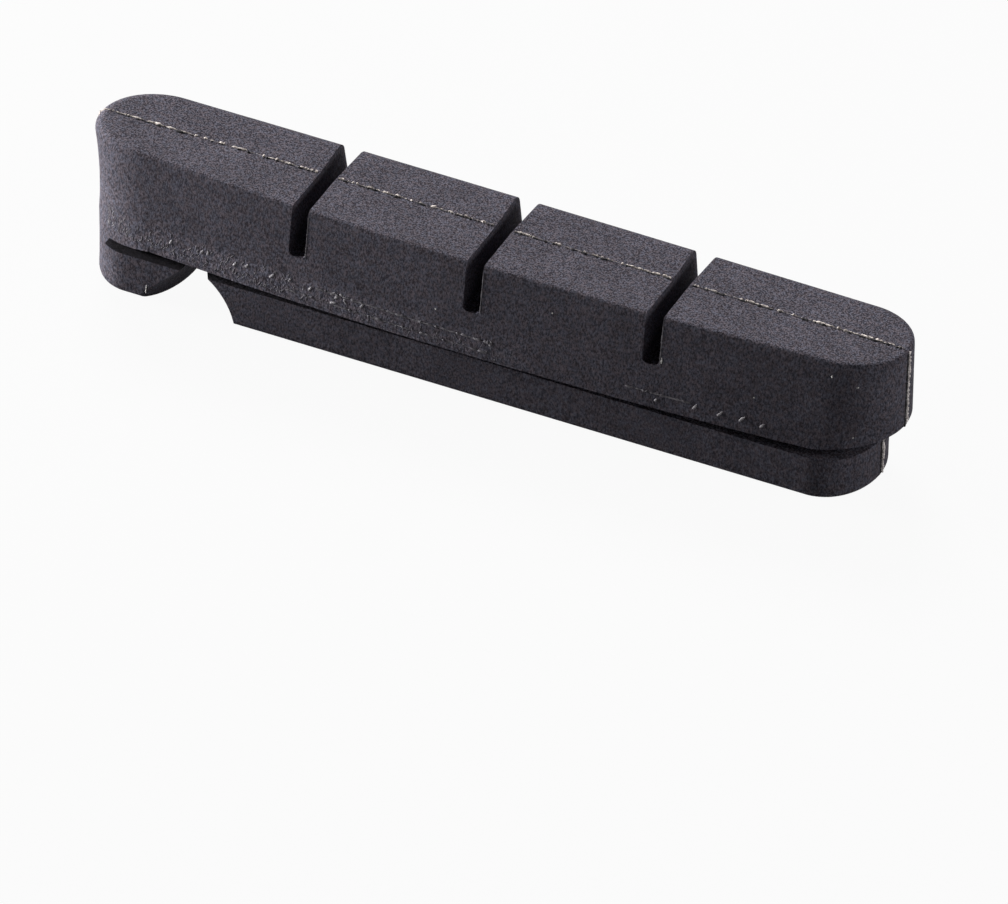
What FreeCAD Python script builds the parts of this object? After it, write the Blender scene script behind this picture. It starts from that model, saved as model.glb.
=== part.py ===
import FreeCAD
import Part
import math
import os

# A moulded rubber insert pad for a cartridge rim brake holder, in millimetres.
# X runs along the pad: the leading end, which enters the holder first, is at +X, and the
# retaining end with the notch is at -X. Y runs across the pad, with the mould's parting plane
# at y = 0 and the bowed flank at -Y. Z is up: the rail's back lies on z = 0 and the braking
# face is on top.

# Overall size
pad_length = 55.0
pad_height = 10.0

# Braking face: half-widths from the parting plane, how far the rounded ends reach along X, and
# a tight edge along the near flank and the leading end, a soft one along the far flank and the tail
face_near = 4.15
face_far = 3.72
face_round_lead = 3.6
face_round_tail = 4.2
tight_edge_radius = 0.25
soft_edge_radius = 0.7

# Shoulder: the block's lower edge, just above the slot
shoulder_near = 5.0
shoulder_far_lead = 4.6
shoulder_far_tail = 5.8
shoulder_round_lead = 4.5
shoulder_round_tail = 4.6
shoulder_tail_setback = 0.43
tail_hollow = 0.16
lead_in_length = 4.5
lead_in_rise = 0.75

# Bow of the two flanks in plan: the near one follows the rim, the far one is almost straight
near_bow = 0.9
far_bow = 0.12

# Transverse grooves in the braking face
groove_count = 3
groove_pitch = 12.0
groove_offset = 0.25
groove_width = 1.15
groove_depth = 3.4
groove_far_flare = 0.4
groove_corner_radius = 0.35

# Retaining rail, with the slot above it that takes the holder's lips
rail_height = 2.95
rail_near_lead = 4.13
rail_near_tail = 4.5
rail_far_lead = 3.85
rail_far_tail = 4.8
rail_lead_setback = 1.45
rail_tail_setback = 0.78
rail_round_lead = 3.2
rail_round_tail = 3.1
rail_edge_radius = 0.3
slot_height = 0.72
slot_depth = 1.8
end_wall = 1.65

# Retaining notch across the rail, measured from the tail: a nosed stub, a floor that runs
# slightly askew, and a scooped wall on the leading side, with its two corners cut back
stub_length = 6.9
stub_nose = 2.3
stub_corner = 0.06
notch_floor_near = 8.6
notch_floor_far = 7.6
notch_mouth_end = 11.22
notch_lead_run = 1.9
notch_scoop = 0.3
notch_corner_run = 0.5
notch_corner_reach = 0.9
notch_overlap = 0.3

# Curve handle that makes a cubic curve follow a quarter of an ellipse
QUARTER_HANDLE = 0.5523
# Steps in which a rounded edge is drawn in
ROUND_STEPS = 5
# Overshoot of cutting solids past the faces that they cut
CUT_PAST = 2.0

shoulder_z = rail_height + slot_height
face_side_z = pad_height - soft_edge_radius
lead_x = pad_length / 2
tail_x = -pad_length / 2
rail_lead_x = lead_x - rail_lead_setback
rail_tail_x = tail_x + rail_tail_setback
slot_end_x = rail_tail_x + end_wall
notch_mouth_x = tail_x + notch_mouth_end
notch_wall_x = notch_mouth_x - notch_lead_run
notch_near_y = -rail_near_tail - stub_corner
notch_far_y = rail_far_tail + stub_corner


def quarter_round(tip, tip_direction, joint, joint_direction):
    """Curve from an end's tip round to a side, tangent to the end and to the side."""
    across = abs(joint.y - tip.y)
    along = abs(joint.x - tip.x)
    curve = Part.BezierCurve()
    curve.setPoles([
        tip,
        tip + tip_direction * (QUARTER_HANDLE * across),
        joint - joint_direction * (QUARTER_HANDLE * along),
        joint,
    ])
    return curve


def pad_outline(z, tail, lead, round_tail, round_lead,
                near_tail, near_lead, bow_near, far_tail, far_lead, bow_far):
    """Closed outline at height z: two bowed sides and two ends, each rounded from side to side."""
    lead_tip = FreeCAD.Vector(lead, 0, z)
    tail_tip = FreeCAD.Vector(tail, 0, z)
    lead_side_x = lead - round_lead
    tail_side_x = tail + round_tail
    middle_x = (lead_side_x + tail_side_x) / 2
    near_lead_joint = FreeCAD.Vector(lead_side_x, -near_lead, z)
    near_tail_joint = FreeCAD.Vector(tail_side_x, -near_tail, z)
    near_middle = FreeCAD.Vector(middle_x, -(near_lead + near_tail) / 2 - bow_near, z)
    far_lead_joint = FreeCAD.Vector(lead_side_x, far_lead, z)
    far_tail_joint = FreeCAD.Vector(tail_side_x, far_tail, z)
    far_middle = FreeCAD.Vector(middle_x, (far_lead + far_tail) / 2 + bow_far, z)
    if bow_near > 0:
        near_side = Part.Arc(near_tail_joint, near_middle, near_lead_joint)
    else:
        near_side = Part.LineSegment(near_tail_joint, near_lead_joint)
    if bow_far > 0:
        far_side = Part.Arc(far_lead_joint, far_middle, far_tail_joint)
    else:
        far_side = Part.LineSegment(far_lead_joint, far_tail_joint)
    near_start = near_side.tangent(near_side.FirstParameter)[0]
    near_end = near_side.tangent(near_side.LastParameter)[0]
    far_start = far_side.tangent(far_side.FirstParameter)[0]
    far_end = far_side.tangent(far_side.LastParameter)[0]
    to_far = FreeCAD.Vector(0, 1, 0)
    to_near = FreeCAD.Vector(0, -1, 0)
    lead_far = quarter_round(lead_tip, to_far, far_lead_joint, far_start)
    tail_far = quarter_round(tail_tip, to_far, far_tail_joint, far_end * -1)
    tail_near = quarter_round(tail_tip, to_near, near_tail_joint, near_start)
    lead_near = quarter_round(lead_tip, to_near, near_lead_joint, near_end * -1)
    edges = [lead_far.toShape(), far_side.toShape(), tail_far.toShape()]
    edges += [tail_near.toShape(), near_side.toShape(), lead_near.toShape()]
    return Part.Wire(Part.__sortEdges__(edges))


def mix(low, high, share):
    """Value that lies the given share of the way from low to high."""
    return low + (high - low) * share


def tight_inset(z):
    """How far the tight edge draws in the near flank and the leading end at height z."""
    rise = max(0, z - pad_height + tight_edge_radius)
    return tight_edge_radius - math.sqrt(max(0, tight_edge_radius ** 2 - rise ** 2))


def block_outline(z, soft_inset):
    """Braking block at height z, with a hollow down its tail; soft_inset draws in tail and far flank."""
    share = (z - shoulder_z) / (pad_height - shoulder_z)
    side_share = min(1, (z - shoulder_z) / (face_side_z - shoulder_z))
    tail_setback = mix(shoulder_tail_setback, 0, side_share) + 4 * tail_hollow * side_share * (1 - side_share)
    round_tail = mix(shoulder_round_tail, face_round_tail, share)
    round_lead = mix(shoulder_round_lead, face_round_lead, share)
    near = mix(shoulder_near, face_near, share) - near_bow - tight_inset(z)
    far_tail = mix(shoulder_far_tail, face_far - far_bow, share)
    far_lead = mix(shoulder_far_lead, face_far - far_bow, share)
    return pad_outline(z, tail_x + tail_setback + soft_inset, lead_x - tight_inset(z),
                       round_tail - soft_inset, round_lead - tight_inset(z),
                       near, near, near_bow, far_tail - soft_inset, far_lead - soft_inset, far_bow)


def rail_outline(z, inset):
    """Rail, or the neck above it when inset, from the closed end wall to the leading end."""
    return pad_outline(z, rail_tail_x + inset, rail_lead_x - inset, rail_round_tail, rail_round_lead,
                       rail_near_tail - inset, rail_near_lead - inset, 0,
                       rail_far_tail - inset, rail_far_lead - inset, 0)


def rounded_edge(outline, side_z, face_z, radius):
    """Band that turns from the sides at side_z into the flat face at face_z."""
    sections = []
    for step in range(ROUND_STEPS + 1):
        angle = math.pi / 2 * step / ROUND_STEPS
        z = mix(side_z, face_z, math.sin(angle))
        sections.append(outline(z, radius * (1 - math.cos(angle))))
    return Part.makeLoft(sections, True, False)


def slab(x_from, x_to, z_from, z_to):
    """Box across the whole width of the pad."""
    half = shoulder_near + shoulder_far_tail + CUT_PAST
    corner = FreeCAD.Vector(x_from, -half, z_from)
    return Part.makeBox(x_to - x_from, 2 * half, z_to - z_from, corner)


def braking_block():
    """Block from the shoulder up to the braking face, with the face's edges rounded."""
    waist_z = (shoulder_z + face_side_z) / 2
    sides = Part.makeLoft([block_outline(shoulder_z, 0), block_outline(waist_z, 0),
                           block_outline(face_side_z, 0)], True, False)
    edge = rounded_edge(block_outline, face_side_z, pad_height, soft_edge_radius)
    return sides.fuse(edge).cut(lead_in_cutter())


def lead_in_cutter():
    """Wedge that lifts the block's underside towards the leading end, where the holder's lips enter."""
    half = shoulder_near + shoulder_far_tail
    slope = lead_in_rise / lead_in_length
    start_x = lead_x - lead_in_length
    past_x = lead_x + CUT_PAST
    corners = [
        FreeCAD.Vector(start_x, -half, shoulder_z),
        FreeCAD.Vector(past_x, -half, shoulder_z + slope * (past_x - start_x)),
        FreeCAD.Vector(past_x, -half, shoulder_z - CUT_PAST),
        FreeCAD.Vector(start_x, -half, shoulder_z - CUT_PAST),
    ]
    wedge = Part.Face(Part.makePolygon(corners + corners[:1]))
    return wedge.extrude(FreeCAD.Vector(0, 2 * half, 0))


def groove_profile(x_middle, width, y):
    """U-shaped section of a groove, with rounded bottom corners."""
    half = width / 2
    radius = groove_corner_radius
    top = pad_height + CUT_PAST
    bottom = pad_height - groove_depth
    lean = radius * (1 - math.sqrt(0.5))
    top_left = FreeCAD.Vector(x_middle - half, y, top)
    top_right = FreeCAD.Vector(x_middle + half, y, top)
    left_start = FreeCAD.Vector(x_middle - half, y, bottom + radius)
    left_turn = FreeCAD.Vector(x_middle - half + lean, y, bottom + lean)
    left_end = FreeCAD.Vector(x_middle - half + radius, y, bottom)
    right_start = FreeCAD.Vector(x_middle + half - radius, y, bottom)
    right_turn = FreeCAD.Vector(x_middle + half - lean, y, bottom + lean)
    right_end = FreeCAD.Vector(x_middle + half, y, bottom + radius)
    edges = [
        Part.LineSegment(top_left, left_start).toShape(),
        Part.Arc(left_start, left_turn, left_end).toShape(),
        Part.LineSegment(left_end, right_start).toShape(),
        Part.Arc(right_start, right_turn, right_end).toShape(),
        Part.LineSegment(right_end, top_right).toShape(),
        Part.LineSegment(top_right, top_left).toShape(),
    ]
    return Part.Wire(edges)


def groove_cutter(x_middle):
    """Groove across the block: even from the near flank to the parting plane, then flared."""
    near_y = -shoulder_near - CUT_PAST
    far_y = shoulder_far_tail + CUT_PAST
    flare = groove_far_flare * far_y / face_far
    near_part = Part.makeLoft([groove_profile(x_middle, groove_width, near_y),
                               groove_profile(x_middle, groove_width, 0)], True, True)
    far_part = Part.makeLoft([groove_profile(x_middle, groove_width, 0),
                              groove_profile(x_middle, groove_width + flare, far_y)], True, True)
    return near_part.fuse(far_part)


def grooves():
    """All the grooves, evenly spaced about a line just past the middle of the pad."""
    first = groove_offset - groove_pitch * (groove_count - 1) / 2
    return [groove_cutter(first + groove_pitch * i) for i in range(groove_count)]


def rail():
    """Rail and the neck that joins it to the block, from the end wall to the leading end."""
    up_to_slot = FreeCAD.Vector(0, 0, rail_height - rail_edge_radius)
    into_block = FreeCAD.Vector(0, 0, shoulder_z + lead_in_rise - rail_edge_radius)
    body = Part.Face(rail_outline(rail_edge_radius, 0)).extrude(up_to_slot)
    neck = Part.Face(rail_outline(rail_edge_radius, slot_depth)).extrude(into_block)
    span = slab(slot_end_x, lead_x, rail_edge_radius, shoulder_z + lead_in_rise)
    return body.fuse(neck).common(span)


def tail_wall():
    """Closed end of the slot: one wall from the rail up to the shoulder."""
    wall = Part.makeLoft([rail_outline(rail_edge_radius, 0), block_outline(shoulder_z, 0)], True, True)
    return wall.common(slab(tail_x, slot_end_x, rail_edge_radius, shoulder_z))


def notch_lead_section(y, shift):
    """Leading part of the notch at y: a step as high as the slot, then a scooped wall to the rail's back."""
    wall_x = notch_wall_x + shift
    mouth_x = notch_mouth_x + shift
    inner_x = notch_wall_x - notch_overlap
    scoop_normal = FreeCAD.Vector(rail_height, 0, notch_lead_run).normalize()
    floor_inner = FreeCAD.Vector(inner_x, y, shoulder_z)
    floor_wall = FreeCAD.Vector(wall_x, y, shoulder_z)
    step = FreeCAD.Vector(wall_x, y, rail_height)
    scoop = FreeCAD.Vector((mouth_x + wall_x) / 2, y, rail_height / 2) + scoop_normal * notch_scoop
    mouth = FreeCAD.Vector(mouth_x, y, -rail_edge_radius)
    below_mouth = FreeCAD.Vector(mouth_x, y, -CUT_PAST)
    below_inner = FreeCAD.Vector(inner_x, y, -CUT_PAST)
    return Part.Wire([
        Part.LineSegment(floor_inner, floor_wall).toShape(),
        Part.LineSegment(floor_wall, step).toShape(),
        Part.Arc(step, scoop, mouth).toShape(),
        Part.LineSegment(mouth, below_mouth).toShape(),
        Part.LineSegment(below_mouth, below_inner).toShape(),
        Part.LineSegment(below_inner, floor_inner).toShape(),
    ])


def notch_lead_cutter():
    """Leading part of the notch, straight across the rail and cut back at its two corners."""
    return Part.makeLoft([
        notch_lead_section(notch_near_y, notch_corner_run),
        notch_lead_section(notch_near_y + notch_corner_reach, 0),
        notch_lead_section(notch_far_y - notch_corner_reach, 0),
        notch_lead_section(notch_far_y, notch_corner_run),
    ], True, True)


def stub_side_section(z):
    """Notch at height z, from the stub's nosed side to a plane just past the leading wall's foot."""
    share = (shoulder_z - z) / shoulder_z
    end_x = notch_wall_x - notch_overlap / 2
    nose_x = tail_x + mix((notch_floor_near + notch_floor_far) / 2, stub_length, share)
    near_x = tail_x + mix(notch_floor_near, stub_length - stub_nose, share)
    far_x = tail_x + mix(notch_floor_far, stub_length - stub_nose, share)
    near = FreeCAD.Vector(near_x, notch_near_y, z)
    nose = FreeCAD.Vector(nose_x, 0, z)
    far = FreeCAD.Vector(far_x, notch_far_y, z)
    far_end = FreeCAD.Vector(end_x, notch_far_y, z)
    near_end = FreeCAD.Vector(end_x, notch_near_y, z)
    if share == 0:
        nose_near = Part.LineSegment(near, nose)
        nose_far = Part.LineSegment(nose, far)
    else:
        to_tail = FreeCAD.Vector(-1, 0, 0)
        nose_near = quarter_round(nose, FreeCAD.Vector(0, -1, 0), near, to_tail)
        nose_far = quarter_round(nose, FreeCAD.Vector(0, 1, 0), far, to_tail)
    edges = [nose_near.toShape(), nose_far.toShape()]
    edges.append(Part.LineSegment(far, far_end).toShape())
    edges.append(Part.LineSegment(far_end, near_end).toShape())
    edges.append(Part.LineSegment(near_end, near).toShape())
    return Part.Wire(Part.__sortEdges__(edges))


def notch_tail_cutter():
    """Rest of the notch: from a slanting floor line down to the stub's nose at the rail's back."""
    return Part.makeLoft([stub_side_section(shoulder_z), stub_side_section(-rail_edge_radius)], True, True)


def brake_pad():
    """The whole pad, moulded in one piece."""
    foot = rounded_edge(rail_outline, rail_edge_radius, 0, rail_edge_radius)
    base = foot.fuse([rail(), tail_wall()]).removeSplitter()
    base = base.cut(notch_lead_cutter()).cut(notch_tail_cutter())
    block = braking_block()
    for groove in grooves():
        block = block.cut(groove)
    return block.fuse(base).removeSplitter()


def main():
    os.makedirs("parts", exist_ok=True)
    pad = brake_pad()
    solid = pad.Solids[0]
    print("solids", len(pad.Solids), "valid", pad.isValid(), "volume", round(pad.Volume, 2))
    solid.exportStep(os.path.join("parts", "brake_pad.step"))


main()
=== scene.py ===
import math
import random
import bmesh
import bpy
from mathutils import Matrix, Vector


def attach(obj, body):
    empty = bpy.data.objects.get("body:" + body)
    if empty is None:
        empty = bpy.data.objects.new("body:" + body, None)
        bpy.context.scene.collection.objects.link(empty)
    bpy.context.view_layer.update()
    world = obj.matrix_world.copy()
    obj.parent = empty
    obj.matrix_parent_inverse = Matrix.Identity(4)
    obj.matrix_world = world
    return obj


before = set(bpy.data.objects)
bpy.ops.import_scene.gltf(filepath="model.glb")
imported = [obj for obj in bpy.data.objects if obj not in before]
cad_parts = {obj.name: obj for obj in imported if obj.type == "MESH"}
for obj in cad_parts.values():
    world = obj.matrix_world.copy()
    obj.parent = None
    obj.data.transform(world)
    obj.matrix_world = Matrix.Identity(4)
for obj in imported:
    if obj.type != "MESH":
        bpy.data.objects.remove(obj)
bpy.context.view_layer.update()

# Lengths below are in millimetres in the model's frame and turned to metres where they are used.
# X runs along the pad with the leading end at +X, -Y is the near flank, and Z is up.
MM = 0.001

# The photograph's view: turn round the pad, height above it, roll, distance and focal length
VIEW_TURN = 24.42
VIEW_HEIGHT = 37.0
VIEW_ROLL = 1.73
VIEW_DISTANCE = 900.0
VIEW_SHIFT_RIGHT = 0.316
VIEW_SHIFT_UP = -9.788
FOCAL_PIXELS = 14638.9
IMAGE_WIDTH = 1008
SENSOR_WIDTH = 36.0
VIEW_CENTRE = Vector((0.0, 0.0, 5.0))

# Soft lamps: name, place, aim, size and power
LAMPS = (
    ("tail_near", (-214, -34.2, 39.7), (-20, 0, 5), 70, 0.76),
    ("tail_far_off", (-496, 34.7, 57.3), (0, 0, 5), 180, 2.6),
    ("far_and_tail", (-200, 290, 340), (0, 0, 5), 180, 2.68),
    ("lead_end", (134, 12, 58), (27, 0, 6), 50, 0.058),
)
SKY_STRENGTH = 0.022

# Floor: its height, just under the flash on the back, its side in metres, the grey that takes the
# shadow, and the share of plain white that shows
FLOOR_Z = -0.12
FLOOR_SIDE = 4.0
FLOOR_GREY = (0.36, 0.36, 0.36, 1)
FLOOR_WHITE_SHARE = 0.94

# Heights and places on the pad that the surface marks go by
FACE_Z = 10.0
SHOULDER_Z = 3.67
END_X = 26.0
GROOVE_PLACES = (-11.75, 0.25, 12.25)
GROOVE_HALF = 0.75
GROOVE_FLOOR_Z = 6.75
NOTCH_FROM = -20.6
NOTCH_TO = -16.2

# A line cut from the pad: merging of the pad's points, tolerance of the cut, merging of the cut's
# points, and the longest edge that is left
PAD_MERGE = 0.001
CUT_TOLERANCE = 0.0001
CUT_MERGE = 0.02
CUT_STEP = 0.13

# A bead made from such a line: small change of radius at every point, merging of its points, and
# the angle in degrees up to which it is shaded smooth
BEAD_FLUTTER = (0.85, 1.15)
BEAD_MERGE = 0.0004
BEAD_SMOOTH = 50

# Flash along the parting plane, and dark lines of painted shadow on its near side, as beads
PARTING_Y = 0.0
FACE_SKIN = 0.12
FACE_FLASH_REACH = 27.2
FACE_FLASH = dict(
    radius=0.085, thin=0.14, gaps=0.5, seed=11, change=0.5, clumps=(0.5, 1.4), wander=0.035)
# Dark bead beside the flash on the face: painted shadow of the flash, not a real crease
FACE_SHADOW_LINE_Y = -0.11
FACE_SHADOW_LINE_REACH = 27.0
FACE_SHADOW_LINE = dict(
    radius=0.065, thin=0.12, gaps=0.6, seed=17, change=0.5, clumps=(0.5, 1.6), wander=0.02)
LEAD_FLASH_LOW = (0.25, 2.9)
LEAD_FLASH_HIGH = (4.0, FACE_Z - FACE_SKIN)
LEAD_FLASH = dict(radius=0.125, thin=0.35, gaps=0.35, seed=23)
# Dark bead beside the flash on the leading end: painted shadow that the fin casts on its near side
LEAD_SHADOW_LINE_Y = -0.24
LEAD_SHADOW_LINE_LOW = (0.4, 2.7)
LEAD_SHADOW_LINE_HIGH = (4.2, FACE_Z - 0.2)
LEAD_SHADOW_LINE = dict(radius=0.09, thin=0.6, gaps=0.2, seed=29)
TAIL_FLASH_FROM_Z = 0.3
TAIL_FLASH = dict(radius=0.09, thin=0.2, gaps=0.5, seed=37, change=0.5, clumps=(0.5, 1.3))
BACK_SKIN = 0.05
BACK_FLASH = dict(radius=0.08, thin=0.2, gaps=0.4, seed=41)

# Fin of flash across the notch
FIN_FROM_Z = 0.4
FIN_PAST_SHOULDER = 0.2
FIN_HEIGHT = 0.3
FIN_RIPPLE = 0.05
FIN_THICKNESS = 0.12
FIN_SEED = 5

# Wear mark on the near flank: name, height, from and to along the pad, bead radius and share of
# thin places
WEAR_LINES = (
    ("wear_line_upper", 4.92, -10.2, 1.7, 0.080, 0.30),
    ("wear_line_lower", 4.18, -12.3, 1.5, 0.070, 0.50),
    ("wear_line_lead", 4.70, 10.75, 15.1, 0.075, 0.30),
)
WEAR_BEAD = dict(thin=0.35, change=0.5, clumps=(0.6, 1.3), wander=0.02)
WEAR_SEED = 53

# Lips that hang from the lower edge of the shoulder: name, from and to along the pad, drop at
# either end and outward lean
SHOULDER_LIPS = (
    ("slot_end_web", -25.80, -22.0, 0.79, 0.25, 0.12),
    ("shoulder_lip", -22.1, 4.0, 0.25, 0.02, 0.0),
)
LIP_ROOT_Z = 3.80
LIP_SIDE_Y = -2.0
LIP_SINK = 0.06
LIP_HANG = 1.0
LIP_MERGE = 0.002
LIP_RIPPLE = 0.012
LIP_THICKNESS = 0.16
LIP_SMOOTH = 40
LIP_SEED = 80

# Rubbed edge of the grooves on the near flank: a raised bead in lighter rubber, partly wear and
# partly a painted highlight along the edge
GROOVE_LIP = 0.60
GROOVE_LIP_SIDE_Y = -3.6
GROOVE_LIP_BELOW_FACE = 0.45
GROOVE_LIP_BEAD = dict(radius=0.04, thin=0.5, gaps=0.3)
GROOVE_LIP_SEED = 60

# Arrow heads on the back of the rail: name, place along the pad and across it
ARROWS = (("arrow_near_lead", 19.0, 1.9), ("arrow_near_tail", -11.2, 1.9))
ARROW_RADIUS = 1.65
ARROW_DEPTH = 0.12
ARROW_STROKE = 0.2
ARROW_EDGE = 0.025

# One tick, 1 mm long: its block, its thinner tail, and how far it is shifted to lie centred
TICK_BLOCK = (0.5, 0.26, 0.16)
TICK_TAIL_RUN = (0.5, 0.04, 0)
TICK_TAIL_TAPER = (1, 0.45, 0.6)
TICK_SHIFT = -0.25

# Rays that find the near flank start this far out, and a face points along an axis from this on
RAY_START_Y = -20
FACING = 0.9

# Raised ticks on the near flank: place along the pad, height, length and slant in degrees
TICKS = (
    (-20.46, 4.67, 0.42, 62), (-18.25, 4.74, 0.40, 48), (-17.83, 4.81, 0.36, 75),
    (-15.91, 4.70, 0.45, 52), (-15.08, 4.85, 0.40, 40), (-13.31, 4.75, 0.52, 44),
    (-12.06, 4.89, 0.38, 55), (-10.65, 4.73, 0.46, 60), (-8.77, 4.79, 0.50, 46),
    (-7.04, 4.73, 0.42, 52), (12.85, 4.27, 0.30, 50), (15.39, 4.51, 0.52, 55),
    (17.03, 4.49, 0.56, 47), (18.47, 4.53, 0.58, 45), (19.78, 4.41, 0.50, 42),
    (-9.05, 4.93, 0.44, 20), (-8.45, 4.98, 0.40, -15), (-8.20, 4.62, 0.42, -60),
    (-9.00, 4.30, 0.50, 12), (1.75, 4.86, 0.42, 70),
)
TICK_THICKNESS = 0.75

# Pale specks, given as the ticks are: dust on the flank, a torn lip at the third groove and a
# scratch on the stub
SPECKS = (
    (23.88, 8.96, 0.22, 80), (25.45, 8.41, 0.18, 20), (25.41, 4.80, 0.14, 60),
    (12.96, 7.05, 0.50, 88), (-21.95, 0.80, 0.75, 84), (-2.10, 6.10, 0.12, 30),
    (5.60, 8.20, 0.12, 70), (19.10, 6.20, 0.12, 15),
)
SPECK_THICKNESS = 0.42

# Flecks and scuffs scattered on the near flank from one seed. Flecks crowd toward the tail and
# the shoulder by a power; slant is a mean and a spread in degrees.
MARK_SEED = 71
FLECK_COUNT = 170
FLECK_FROM_X = -25.3
FLECK_RUN = 14.5
FLECK_CROWD_TAIL = 1.8
FLECK_FROM_Z = 3.85
FLECK_RISE = 1.35
FLECK_CROWD_LOW = 1.5
FLECK_LENGTHS = (0.16, 0.42)
FLECK_SLANT = (70, 16)
FLECK_THICKNESS = 0.32
SCUFF_COUNT = 110
SCUFF_X = (-12.5, 4.0)
SCUFF_Z = (3.78, 4.65)
SCUFF_LENGTHS = (0.12, 0.30)
SCUFF_SLANT = (78, 14)
SCUFF_THICKNESS = 0.24

# The pad's rubber: noises by scale, detail and roughness; ramps by two places, each with its
# tone; a fade by the span that it runs over and its values at either end
FADE_IN = (0.0, 1.0)
FADE_OUT = (1.0, 0.0)
GRAIN_STRETCH = (1.0, 1.0, 0.55)
GRAIN_NOISE = (9500.0, 4.0, 0.75)
GRAIN_MIDDLE = 0.51
SPECKLE_RAMP = (0.40, (0.030, 0.027, 0.034, 1), 0.62, (0.151, 0.141, 0.169, 1))

# Speckle is stronger on what lies flat, the braking face and the back: partly the face's ground
# finish, partly painted shading of the grain under the low raking light
FLAT_LYING = (0.6, 0.98)
FLAT_STRENGTH = (1.0, 2.4)

# Slow changes of shade and of tint
CLOUD_NOISE = (420.0, 3.0, 0.55)
CLOUD_SPAN = (0.3, 0.7)
CLOUD_SHADE = (0.88, 1.12)
DRIFT_NOISE = (3200.0, 2.0, 0.5)
TINT_RAMP = (0.40, (1.0, 0.93, 0.90, 1), 0.60, (0.90, 0.95, 1.0, 1))

# Rubbed band on the near side, above the rail and along the tail half
BAND_NOISE = (6500.0, 2.0, 0.6)
BAND_SPAN = (0.35, 0.65)
BAND_TONE = (0.95, 1.75)
BAND_TOP_Z = (5.0, 5.45)
BAND_FOOT_Z = (2.95, 3.05)
BAND_TAIL_X = (-24.3, -21.8)
BAND_LEAD_X = (-9.0, 6.0)
BAND_FACING_Y = (-0.75, -0.35)
BAND_BUMP = 1.1

# Painted shade on the floor of the slot, where the shoulder's shadow falls, darker toward the tail
SLOT_PAINTED_SHADE = (0.016, 0.015, 0.017, 1)
SLOT_SHADE_Z = (3.1, 3.6)
SLOT_SHADE_X = (-20.0, 2.0)
SLOT_SHADE_SHARE = (0.85, 0.15)
SLOT_SHADE_FACING_UP = (0.25, 0.8)

# Rubber of the marks: dark tone, light tone and noise scale of its patches
MARK_TONES = {
    "flash_rubber": ((0.12, 0.10, 0.095, 1), (0.78, 0.70, 0.65, 1), 6500.0),
    "line_rubber": ((0.08, 0.075, 0.085, 1), (0.19, 0.178, 0.195, 1), 4200.0),
    "tick_rubber": ((0.14, 0.13, 0.145, 1), (0.42, 0.40, 0.42, 1), 5200.0),
    "scuff_rubber": ((0.07, 0.066, 0.074, 1), (0.135, 0.127, 0.142, 1), 4200.0),
    "dust_pale": ((0.40, 0.38, 0.37, 1), (0.75, 0.72, 0.70, 1), 5200.0),
    # Paler flash for the leading end: pale torn rubber, made brighter still as a painted highlight
    # on its crest
    "flash_and_painted_highlight": ((0.45, 0.40, 0.39, 1), (0.92, 0.86, 0.84, 1), 5200.0),
    # Very dark rubber for the beads beside the flash: painted shadow
    "painted_shadow_dark": ((0.006, 0.005, 0.006, 1), (0.022, 0.020, 0.023, 1), 5200.0),
    "mark_rubber": ((0.012, 0.011, 0.013, 1), (0.040, 0.037, 0.043, 1), 5200.0),
}
MARK_DETAIL = 3.0
MARK_ROUGHNESS = 0.6
MARK_DARK_AT = 0.38
MARK_LIGHT_AT = 0.60


def select_only(piece):
    """Leave edit mode and select this piece alone, or nothing."""
    if bpy.context.object and bpy.context.object.mode != "OBJECT":
        bpy.ops.object.mode_set(mode="OBJECT")
    bpy.ops.object.select_all(action="DESELECT")
    if piece:
        piece.select_set(True)
        bpy.context.view_layer.objects.active = piece


def linked_copy(name, source):
    """New object with a copy of another object's mesh."""
    piece = bpy.data.objects.new(name, source.data.copy())
    bpy.context.scene.collection.objects.link(piece)
    return piece


def new_material(name):
    """Empty node material with its output node."""
    material = bpy.data.materials.new(name)
    material.use_nodes = True
    material.node_tree.nodes.clear()
    output = material.node_tree.nodes.new("ShaderNodeOutputMaterial")
    return material, material.node_tree, output


def add_node(tree, kind, **values):
    """Node with the given attributes and input values."""
    node = tree.nodes.new(kind)
    for key, value in values.items():
        if key in node.inputs:
            node.inputs[key].default_value = value
        else:
            setattr(node, key, value)
    return node


def feed(tree, socket, value):
    """Link an output to the socket, or set the socket to a plain value."""
    if isinstance(value, bpy.types.NodeSocket):
        tree.links.new(value, socket)
    else:
        socket.default_value = value


def calculate(tree, operation, *values):
    """Result of a Math node."""
    node = add_node(tree, "ShaderNodeMath", operation=operation)
    for socket, value in zip(node.inputs, values):
        feed(tree, socket, value)
    return node.outputs["Value"]


def fade(tree, value, span, ends, unit=1.0):
    """Value that goes from one end to the other while another runs over its span."""
    node = add_node(tree, "ShaderNodeMapRange")
    feed(tree, node.inputs["Value"], value)
    node.inputs["From Min"].default_value = span[0] * unit
    node.inputs["From Max"].default_value = span[1] * unit
    node.inputs["To Min"].default_value = ends[0]
    node.inputs["To Max"].default_value = ends[1]
    return node.outputs["Result"]


def mix(tree, data_type, blend_type, factor, first, second):
    """Result of a Mix node of two colours or two numbers."""
    node = add_node(tree, "ShaderNodeMix", data_type=data_type, blend_type=blend_type)
    feed(tree, node.inputs["Factor"], factor)
    feed(tree, node.inputs["A"], first)
    feed(tree, node.inputs["B"], second)
    return node.outputs["Result"]


def ramp(tree, value, dark_at, dark, light_at, light):
    """Colour that a ramp of two tones gives a value."""
    node = add_node(tree, "ShaderNodeValToRGB")
    feed(tree, node.inputs["Fac"], value)
    low, high = node.color_ramp.elements
    low.position = dark_at
    low.color = dark
    high.position = light_at
    high.color = light
    return node.outputs["Color"]


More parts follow.
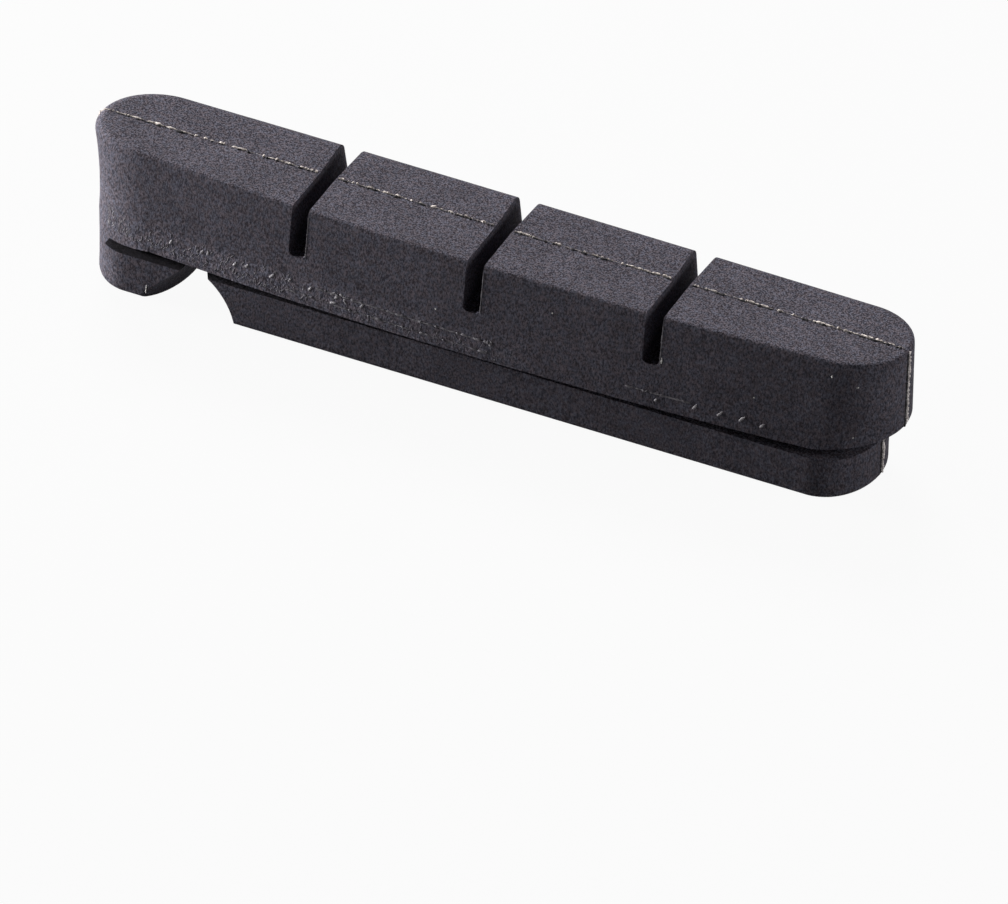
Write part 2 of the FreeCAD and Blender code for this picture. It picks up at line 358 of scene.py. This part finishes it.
def noise(tree, place, scale, detail, roughness):
    """Value of a noise texture at a place."""
    node = add_node(tree, "ShaderNodeTexNoise", Scale=scale, Detail=detail, Roughness=roughness)
    feed(tree, node.inputs["Vector"], place)
    return node.outputs["Fac"]


def separate(tree, vector):
    """The X, Y and Z outputs of a vector."""
    node = add_node(tree, "ShaderNodeSeparateXYZ")
    feed(tree, node.inputs["Vector"], vector)
    return node.outputs


def finish_rubber(tree, output, colour, height, bump, strength, roughness, specular):
    """Rubber surface of a colour, with a bump of so many millimetres by a height."""
    relief = add_node(tree, "ShaderNodeBump", Strength=strength, Distance=bump * MM)
    feed(tree, relief.inputs["Height"], height)
    surface = add_node(tree, "ShaderNodeBsdfPrincipled", Roughness=roughness)
    surface.inputs["Specular IOR Level"].default_value = specular
    feed(tree, surface.inputs["Base Color"], colour)
    feed(tree, surface.inputs["Normal"], relief.outputs["Normal"])
    feed(tree, output.inputs["Surface"], surface.outputs["BSDF"])


def pad_rubber():
    """Charcoal moulded rubber: speckled, grained, with painted shade on the slot floor, and rubbed
    above it.
    """
    material, tree, output = new_material("pad_rubber_moulded")
    place = add_node(tree, "ShaderNodeTexCoord").outputs["Object"]
    spot = separate(tree, place)
    facing = separate(tree, add_node(tree, "ShaderNodeNewGeometry").outputs["Normal"])
    stretch = add_node(tree, "ShaderNodeMapping")
    stretch.inputs["Scale"].default_value = GRAIN_STRETCH
    feed(tree, stretch.inputs["Vector"], place)
    stretched = stretch.outputs["Vector"]
    grain = noise(tree, stretched, *GRAIN_NOISE)
    rough = noise(tree, stretched, *BAND_NOISE)
    cloud = noise(tree, place, *CLOUD_NOISE)
    drift = noise(tree, place, *DRIFT_NOISE)

    flat_lying = calculate(tree, "ABSOLUTE", facing["Z"])
    strength = fade(tree, flat_lying, FLAT_LYING, FLAT_STRENGTH)
    centred = calculate(tree, "SUBTRACT", grain, GRAIN_MIDDLE)
    scaled = calculate(tree, "MULTIPLY", centred, strength)
    restored = calculate(tree, "ADD", scaled, GRAIN_MIDDLE)
    speckle = ramp(tree, restored, *SPECKLE_RAMP)

    below_band_top = fade(tree, spot["Z"], BAND_TOP_Z, FADE_OUT, MM)
    above_rail = fade(tree, spot["Z"], BAND_FOOT_Z, FADE_IN, MM)
    past_tail = fade(tree, spot["X"], BAND_TAIL_X, FADE_IN, MM)
    before_lead = fade(tree, spot["X"], BAND_LEAD_X, FADE_OUT, MM)
    near_side = fade(tree, facing["Y"], BAND_FACING_Y, FADE_OUT)
    band_height = calculate(tree, "MULTIPLY", below_band_top, above_rail)
    band_length = calculate(tree, "MULTIPLY", past_tail, before_lead)
    band_patch = calculate(tree, "MULTIPLY", band_height, band_length)
    band = calculate(tree, "MULTIPLY", band_patch, near_side)
    rough_tone = fade(tree, rough, BAND_SPAN, BAND_TONE)
    band_tone = mix(tree, "FLOAT", "MIX", band, 1.0, rough_tone)

    shade = fade(tree, cloud, CLOUD_SPAN, CLOUD_SHADE)
    band_shade = calculate(tree, "MULTIPLY", shade, band_tone)
    tone = mix(tree, "RGBA", "MULTIPLY", 1.0, speckle, band_shade)
    tint = ramp(tree, drift, *TINT_RAMP)
    tinted = mix(tree, "RGBA", "MULTIPLY", 1.0, tone, tint)

    # Painted shade: faces that look up, low in the slot, are darkened toward the tail to stand in
    # for the shoulder's shadow
    low_down = fade(tree, spot["Z"], SLOT_SHADE_Z, FADE_OUT, MM)
    near_tail = fade(tree, spot["X"], SLOT_SHADE_X, SLOT_SHADE_SHARE, MM)
    facing_up = fade(tree, facing["Z"], SLOT_SHADE_FACING_UP, FADE_IN)
    low_slot = calculate(tree, "MULTIPLY", low_down, near_tail)
    painted_slot_shade = calculate(tree, "MULTIPLY", low_slot, facing_up)
    colour = mix(tree, "RGBA", "MIX", painted_slot_shade, tinted, SLOT_PAINTED_SHADE)

    band_relief = calculate(tree, "MULTIPLY", rough, band)
    height = calculate(tree, "MULTIPLY_ADD", band_relief, BAND_BUMP, grain)
    finish_rubber(tree, output, colour, height,
                  bump=0.04, strength=0.8, roughness=0.78, specular=0.05)
    return material


def mark_material(name):
    """Rubber of a mark, in patches of two tones: thin flash, lines, ticks, specks, and the dark
    painted shadow beside the flash.
    """
    dark, light, scale = MARK_TONES[name]
    material, tree, output = new_material(name)
    place = add_node(tree, "ShaderNodeTexCoord").outputs["Object"]
    patches = noise(tree, place, scale, MARK_DETAIL, MARK_ROUGHNESS)
    colour = ramp(tree, patches, MARK_DARK_AT, dark, MARK_LIGHT_AT, light)
    finish_rubber(tree, output, colour, patches,
                  bump=0.02, strength=0.4, roughness=0.7, specular=0.2)
    return material


def floor_paper():
    """White sweep that shows as white and still takes a soft shadow of the pad."""
    material, tree, output = new_material("white_sweep")
    paper = add_node(tree, "ShaderNodeBsdfDiffuse", Color=FLOOR_GREY)
    glow = add_node(tree, "ShaderNodeEmission", Strength=1.0, Color=(1, 1, 1, 1))
    path = add_node(tree, "ShaderNodeLightPath").outputs
    seen = calculate(tree, "MAXIMUM", path["Is Camera Ray"], path["Is Glossy Ray"])
    seen_or_through = calculate(tree, "MAXIMUM", seen, path["Is Transmission Ray"])
    blend = add_node(tree, "ShaderNodeMixShader")
    feed(tree, blend.inputs["Fac"], calculate(tree, "MULTIPLY", seen_or_through, FLOOR_WHITE_SHARE))
    feed(tree, blend.inputs[1], paper.outputs["BSDF"])
    feed(tree, blend.inputs[2], glow.outputs["Emission"])
    feed(tree, output.inputs["Surface"], blend.outputs["Shader"])
    return material


def settle(piece, material):
    """Finish a new piece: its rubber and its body."""
    piece.data.materials.clear()
    piece.data.materials.append(material)
    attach(piece, "root")


def select_faces(piece, wanted):
    """In edit mode, select the faces whose normal is wanted, and no others."""
    bpy.ops.mesh.select_all(action="DESELECT")
    mesh = bmesh.from_edit_mesh(piece.data)
    for face in mesh.faces:
        face.select_set(wanted(face.normal))
    bmesh.update_edit_mesh(piece.data)


def turn_normals_outward():
    """From edit mode, turn all normals outward and go back to object mode."""
    bpy.ops.mesh.select_all(action="SELECT")
    bpy.ops.mesh.normals_make_consistent(inside=False)
    bpy.ops.object.mode_set(mode="OBJECT")


def thicken(piece, thickness):
    """From edit mode, give a thin sheet of rubber its thickness, closed all round."""
    bpy.ops.object.mode_set(mode="OBJECT")
    wall = piece.modifiers.new("wall", "SOLIDIFY")
    wall.thickness = thickness * MM
    wall.offset = 0.0
    bpy.ops.object.modifier_apply(modifier="wall")
    bpy.ops.object.mode_set(mode="EDIT")
    turn_normals_outward()


def cut_line(name, point, normal, wanted):
    """Line where a plane cuts a copy of the pad, with the wanted edges; left in edit mode."""
    piece = linked_copy(name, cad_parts["brake_pad"])
    select_only(piece)
    bpy.ops.object.mode_set(mode="EDIT")
    bpy.ops.mesh.select_mode(type="EDGE")
    bpy.ops.mesh.select_all(action="SELECT")
    bpy.ops.mesh.remove_doubles(threshold=PAD_MERGE * MM)
    bpy.ops.mesh.bisect(plane_co=Vector(point) * MM, plane_no=normal,
                        clear_inner=True, clear_outer=True, threshold=CUT_TOLERANCE * MM)
    bpy.ops.mesh.select_all(action="SELECT")
    bpy.ops.mesh.remove_doubles(threshold=CUT_MERGE * MM)
    split_long_edges(piece)
    bpy.ops.mesh.select_all(action="DESELECT")
    mesh = bmesh.from_edit_mesh(piece.data)
    for edge in mesh.edges:
        middle = (edge.verts[0].co + edge.verts[1].co) / 2 / MM
        edge.select_set(not wanted(middle))
    bmesh.update_edit_mesh(piece.data)
    bpy.ops.mesh.delete(type="EDGE")
    return piece


def split_long_edges(piece):
    """Halve the line's edges until none is longer than the cut's step."""
    while True:
        bpy.ops.mesh.select_all(action="DESELECT")
        mesh = bmesh.from_edit_mesh(piece.data)
        long_edges = [edge for edge in mesh.edges if edge.calc_length() > CUT_STEP * MM]
        if not long_edges:
            return
        for edge in long_edges:
            edge.select_set(True)
        bpy.ops.mesh.subdivide(number_cuts=1)


def ragged_bead(radius, thin, gaps, seed, change=0.75, clumps=(0.6, 1.15), wander=0.0):
    """Turn the cut line in edit mode into a bead of rubber that swells and thins along its length.

    At a share of its points, change, the bead takes a new swell: thin at a share of these, gaps,
    and somewhere in the range of clumps at the others. Points wander sideways by up to wander.
    """
    draw = random.Random(seed)
    if wander:
        bpy.ops.mesh.select_all(action="SELECT")
        bpy.ops.transform.vertex_random(offset=wander * MM, seed=seed)
    bpy.ops.object.mode_set(mode="OBJECT")
    bpy.ops.object.convert(target="CURVE")
    curve = bpy.context.object.data
    curve.bevel_depth = radius * MM
    curve.bevel_resolution = 1
    curve.use_fill_caps = True
    for spline in curve.splines:
        swell = 1.0
        for point in spline.points:
            if draw.random() < change:
                swell = thin if draw.random() < gaps else draw.uniform(*clumps)
            point.radius = swell * draw.uniform(*BEAD_FLUTTER)
    bpy.ops.object.convert(target="MESH")
    bpy.ops.object.mode_set(mode="EDIT")
    bpy.ops.mesh.select_all(action="SELECT")
    bpy.ops.mesh.remove_doubles(threshold=BEAD_MERGE * MM)
    turn_normals_outward()
    bpy.ops.object.shade_smooth_by_angle(angle=math.radians(BEAD_SMOOTH))
    return bpy.context.object


def on_face(spot, reach):
    """Whether a spot lies on the braking face, within reach of its middle and not in a groove."""
    in_groove = any(abs(spot.x - place) < GROOVE_HALF for place in GROOVE_PLACES)
    return spot.z > FACE_Z - FACE_SKIN and abs(spot.x) < reach and not in_groove


def on_leading_end(spot, low, high):
    """Whether a spot lies on the leading end, on the rail or on the block but not in the slot."""
    return spot.x > END_X and (low[0] < spot.z < low[1] or high[0] < spot.z < high[1])


def add_parting_bead(name, y, wanted, bead, material):
    """Bead along the pad where an upright plane at y cuts it."""
    cut_line(name, (0, y, 0), (0, 1, 0), wanted)
    settle(ragged_bead(**bead), material)


def add_parting_flash(flash, bright, dark):
    """Thin ragged flash that the two mould halves left along the middle of the pad, with dark beads
    of painted shadow on its near side.
    """
    add_parting_bead("flash_on_face", PARTING_Y,
                     lambda spot: on_face(spot, FACE_FLASH_REACH), FACE_FLASH, flash)
    # Painted shadow: a dark bead on the near side of the flash on the face
    add_parting_bead("painted_shadow_on_face", FACE_SHADOW_LINE_Y,
                     lambda spot: on_face(spot, FACE_SHADOW_LINE_REACH), FACE_SHADOW_LINE, dark)
    # The flash at the leading end is pale rubber with a painted highlight on its crest
    add_parting_bead("flash_at_leading_end", PARTING_Y,
                     lambda spot: on_leading_end(spot, LEAD_FLASH_LOW, LEAD_FLASH_HIGH),
                     LEAD_FLASH, bright)
    # Painted shadow: a dark bead on the near side of the flash at the leading end
    add_parting_bead("painted_shadow_at_leading_end", LEAD_SHADOW_LINE_Y,
                     lambda spot: on_leading_end(spot, LEAD_SHADOW_LINE_LOW, LEAD_SHADOW_LINE_HIGH),
                     LEAD_SHADOW_LINE, dark)
    add_parting_bead("flash_at_tail", PARTING_Y,
                     lambda spot: spot.x < -END_X
                     and TAIL_FLASH_FROM_Z < spot.z < FACE_Z - FACE_SKIN,
                     TAIL_FLASH, flash)
    add_parting_bead("flash_on_back", PARTING_Y,
                     lambda spot: spot.z < BACK_SKIN and not NOTCH_FROM < spot.x < NOTCH_TO,
                     BACK_FLASH, flash)


def add_notch_fin(material):
    """Standing fin of flash across the notch."""
    fin = cut_line("fin_in_notch", (0, PARTING_Y, 0), (0, 1, 0),
                   lambda spot: NOTCH_FROM < spot.x < NOTCH_TO
                   and FIN_FROM_Z < spot.z < SHOULDER_Z + FIN_PAST_SHOULDER)
    bpy.ops.mesh.select_all(action="SELECT")
    bpy.ops.mesh.extrude_region_move(TRANSFORM_OT_translate={"value": (0, 0, -FIN_HEIGHT * MM)})
    bpy.ops.transform.vertex_random(offset=FIN_RIPPLE * MM, seed=FIN_SEED)
    thicken(fin, FIN_THICKNESS)
    settle(fin, material)


def add_wear_lines(material):
    """Low raised lines on the near flank that show how far the block may wear."""
    for number, (name, height, start, end, radius, gaps) in enumerate(WEAR_LINES):
        cut_line(name, (0, 0, height), (0, 0, 1),
                 lambda spot: spot.y < 0 and start < spot.x < end)
        bead = ragged_bead(radius=radius, gaps=gaps, seed=WEAR_SEED + number, **WEAR_BEAD)
        settle(bead, material)


def hang_shoulder_lips(material):
    """Thin lips under the near edge of the shoulder; the one at the tail closes the slot's end."""
    for number, (name, start, end, drop_start, drop_end, lean) in enumerate(SHOULDER_LIPS):
        lip = cut_line(name, (0, 0, LIP_ROOT_Z), (0, 0, 1),
                       lambda spot: spot.y < LIP_SIDE_Y and start < spot.x < end)
        bpy.ops.mesh.select_all(action="SELECT")
        bpy.ops.transform.translate(value=(LIP_SINK / 2 * MM, LIP_SINK * MM, 0))
        bpy.ops.mesh.extrude_region_move(
            TRANSFORM_OT_translate={"value": (-lean / 2 * MM, -lean * MM, -LIP_HANG * MM)})
        bpy.ops.mesh.select_all(action="SELECT")
        bpy.ops.mesh.bisect(plane_co=Vector((start, 0, SHOULDER_Z - drop_start)) * MM,
                            plane_no=Vector((drop_end - drop_start, 0, end - start)).normalized(),
                            clear_inner=True, threshold=CUT_TOLERANCE * MM)
        bpy.ops.mesh.select_all(action="SELECT")
        bpy.ops.mesh.remove_doubles(threshold=LIP_MERGE * MM)
        # The cut leaves the points in no fixed order, and the ripple is drawn point by point.
        bpy.ops.mesh.sort_elements(type="CURSOR_DISTANCE", elements={"VERT"})
        bpy.ops.transform.vertex_random(offset=LIP_RIPPLE * MM, seed=LIP_SEED + number)
        thicken(lip, LIP_THICKNESS)
        bpy.ops.object.shade_smooth_by_angle(angle=math.radians(LIP_SMOOTH))
        settle(lip, material)


def add_groove_lips(material):
    """Rubbed edge on the leading side of each groove, where it comes out on the near flank; its
    lighter rubber is partly a painted highlight on the edge.
    """
    for number, place in enumerate(GROOVE_PLACES, start=1):
        cut_line(f"groove_lip_{number}", (place + GROOVE_LIP, 0, 0), (1, 0, 0),
                 lambda spot: spot.y < GROOVE_LIP_SIDE_Y
                 and GROOVE_FLOOR_Z < spot.z < FACE_Z - GROOVE_LIP_BELOW_FACE)
        settle(ragged_bead(seed=GROOVE_LIP_SEED + number, **GROOVE_LIP_BEAD), material)


def model_arrow():
    """Outlined arrow head toward the leading end: a flat triangle with its middle cut out."""
    select_only(None)
    bpy.ops.mesh.primitive_cylinder_add(
        vertices=3, radius=ARROW_RADIUS * MM, depth=ARROW_DEPTH * MM, location=(0, 0, 0))
    arrow = bpy.context.object
    bpy.ops.object.mode_set(mode="EDIT")
    bpy.ops.mesh.select_mode(type="FACE")
    bpy.ops.mesh.select_all(action="SELECT")
    bpy.ops.transform.rotate(value=math.radians(90), orient_axis="Z", center_override=(0, 0, 0))
    select_faces(arrow, lambda normal: abs(normal.z) > FACING)
    bpy.ops.mesh.inset(thickness=ARROW_STROKE * MM)
    bpy.ops.mesh.bridge_edge_loops()
    turn_normals_outward()
    edge = arrow.modifiers.new("edge", "BEVEL")
    edge.width = ARROW_EDGE * MM
    edge.segments = 2
    bpy.ops.object.modifier_apply(modifier="edge")
    return arrow


def add_direction_arrows(material):
    """The two arrow heads on the back of the rail."""
    master = model_arrow()
    for name, x, y in ARROWS:
        arrow = linked_copy(name, master)
        select_only(arrow)
        bpy.ops.object.mode_set(mode="EDIT")
        bpy.ops.mesh.select_all(action="SELECT")
        bpy.ops.transform.translate(value=(x * MM, y * MM, 0))
        bpy.ops.object.mode_set(mode="OBJECT")
        settle(arrow, material)
    bpy.data.objects.remove(master)


def model_tick():
    """One raised tick with a blunt head and a thinner tail."""
    select_only(None)
    bpy.ops.mesh.primitive_cube_add(size=MM)
    tick = bpy.context.object
    bpy.ops.object.mode_set(mode="EDIT")
    bpy.ops.mesh.select_mode(type="FACE")
    bpy.ops.mesh.select_all(action="SELECT")
    bpy.ops.transform.resize(value=TICK_BLOCK)
    select_faces(tick, lambda normal: normal.x > FACING)
    bpy.ops.mesh.extrude_region_move(
        TRANSFORM_OT_translate={"value": Vector(TICK_TAIL_RUN) * MM})
    bpy.ops.transform.resize(value=TICK_TAIL_TAPER)
    bpy.ops.mesh.select_all(action="SELECT")
    bpy.ops.transform.translate(value=(TICK_SHIFT * MM, 0, 0))
    bpy.ops.object.mode_set(mode="OBJECT")
    rounding = tick.modifiers.new("rounding", "SUBSURF")
    rounding.levels = 1
    rounding.render_levels = 1
    bpy.ops.object.modifier_apply(modifier="rounding")
    bpy.ops.object.shade_smooth()
    return tick


def lay_ticks(name, master, places, thickness, material):
    """Copies of the tick laid on the near flank at their places, joined to one piece."""
    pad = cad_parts["brake_pad"]
    copies = []
    for x, z, length, slant in places:
        start = Vector((x, RAY_START_Y, z)) * MM
        hit, spot, normal, _ = pad.ray_cast(start, Vector((0, 1, 0)))
        if not hit:
            continue
        along = (Vector((1, 0, 0)) - normal * normal.x).normalized()
        across = normal.cross(along)
        angle = math.radians(slant)
        lead = along * math.cos(angle) + across * math.sin(angle)
        turned = Matrix((lead, normal.cross(lead), normal)).transposed().to_4x4()
        sized = Matrix.Diagonal((length, thickness, thickness, 1))
        copy = linked_copy(name, master)
        copy.data.transform(Matrix.Translation(spot) @ turned @ sized)
        copies.append(copy)
    select_only(copies[0])
    for copy in copies:
        copy.select_set(True)
    bpy.ops.object.join()
    piece = bpy.context.object
    piece.name = name
    settle(piece, material)


def add_flank_marks(tick_rubber, fleck_rubber, scuff_rubber, dust):
    """Ticks by the wear lines, flecks and scuffs above the slot, and a few pale specks."""
    master = model_tick()
    lay_ticks("flank_ticks", master, TICKS, TICK_THICKNESS, tick_rubber)
    draw = random.Random(MARK_SEED)
    flecks = []
    for _ in range(FLECK_COUNT):
        x = FLECK_FROM_X + FLECK_RUN * draw.random() ** FLECK_CROWD_TAIL
        z = FLECK_FROM_Z + FLECK_RISE * draw.random() ** FLECK_CROWD_LOW
        flecks.append((x, z, draw.uniform(*FLECK_LENGTHS), draw.gauss(*FLECK_SLANT)))
    lay_ticks("tail_flecks", master, flecks, FLECK_THICKNESS, fleck_rubber)
    scuffs = []
    for _ in range(SCUFF_COUNT):
        x = draw.uniform(*SCUFF_X)
        z = draw.uniform(*SCUFF_Z)
        scuffs.append((x, z, draw.uniform(*SCUFF_LENGTHS), draw.gauss(*SCUFF_SLANT)))
    lay_ticks("shoulder_scuffs", master, scuffs, SCUFF_THICKNESS, scuff_rubber)
    lay_ticks("pale_specks", master, SPECKS, SPECK_THICKNESS, dust)
    bpy.data.objects.remove(master)


def dress_pad():
    """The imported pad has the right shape, so it only takes the rubber finish."""
    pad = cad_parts["brake_pad"]
    rubber = pad_rubber()
    pad.data.materials.clear()
    pad.data.materials.append(rubber)
    return rubber


def lay_floor():
    """Plain white floor under the pad."""
    select_only(None)
    bpy.ops.mesh.primitive_plane_add(size=FLOOR_SIDE, location=(0, 0, FLOOR_Z * MM))
    floor = bpy.context.object
    floor.name = "floor"
    floor.data.materials.append(floor_paper())


def place_camera():
    """Long lens at the photograph's angle."""
    turn = math.radians(VIEW_TURN)
    height = math.radians(VIEW_HEIGHT)
    roll = math.radians(VIEW_ROLL)
    back = Vector((math.sin(turn) * math.cos(height),
                   -math.cos(turn) * math.cos(height),
                   math.sin(height)))
    right = Vector((math.cos(turn), math.sin(turn), 0.0))
    up = back.cross(right)
    rolled_right = right * math.cos(roll) + up * math.sin(roll)
    rolled_up = up * math.cos(roll) - right * math.sin(roll)
    shift = rolled_right * VIEW_SHIFT_RIGHT + rolled_up * VIEW_SHIFT_UP
    spot = VIEW_CENTRE + back * VIEW_DISTANCE + shift
    data = bpy.data.cameras.new("photo_camera")
    data.sensor_fit = "HORIZONTAL"
    data.sensor_width = SENSOR_WIDTH
    data.lens = FOCAL_PIXELS / IMAGE_WIDTH * SENSOR_WIDTH
    camera = bpy.data.objects.new("photo_camera", data)
    bpy.context.scene.collection.objects.link(camera)
    turned = Matrix((rolled_right, rolled_up, back)).transposed().to_4x4()
    camera.matrix_world = Matrix.Translation(spot * MM) @ turned
    bpy.context.scene.camera = camera


def soft_lamp(name, spot, target, size, power):
    """Square area lamp at spot, turned to face target."""
    data = bpy.data.lights.new(name, "AREA")
    data.size = size * MM
    data.energy = power
    lamp = bpy.data.objects.new(name, data)
    lamp.location = Vector(spot) * MM
    aim = (Vector(target) - Vector(spot)).normalized()
    lamp.rotation_euler = aim.to_track_quat("-Z", "Y").to_euler()
    bpy.context.scene.collection.objects.link(lamp)


def light_studio():
    """Two lamps low past the tail that rake along the flank, one high behind, one at the lead."""
    world = bpy.data.worlds.new("studio")
    world.use_nodes = True
    sky = world.node_tree.nodes["Background"]
    sky.inputs["Color"].default_value = (1, 1, 1, 1)
    sky.inputs["Strength"].default_value = SKY_STRENGTH
    bpy.context.scene.world = world
    for lamp in LAMPS:
        soft_lamp(*lamp)


bpy.context.scene.view_settings.view_transform = "Standard"
rubber = dress_pad()
marks = {name: mark_material(name) for name in MARK_TONES}
add_parting_flash(marks["flash_rubber"], marks["flash_and_painted_highlight"], marks["painted_shadow_dark"])
add_notch_fin(marks["flash_rubber"])
add_wear_lines(marks["line_rubber"])
hang_shoulder_lips(rubber)
add_groove_lips(marks["line_rubber"])
add_flank_marks(marks["tick_rubber"], marks["line_rubber"], marks["scuff_rubber"],
                marks["dust_pale"])
add_direction_arrows(marks["mark_rubber"])
lay_floor()
place_camera()
light_studio()
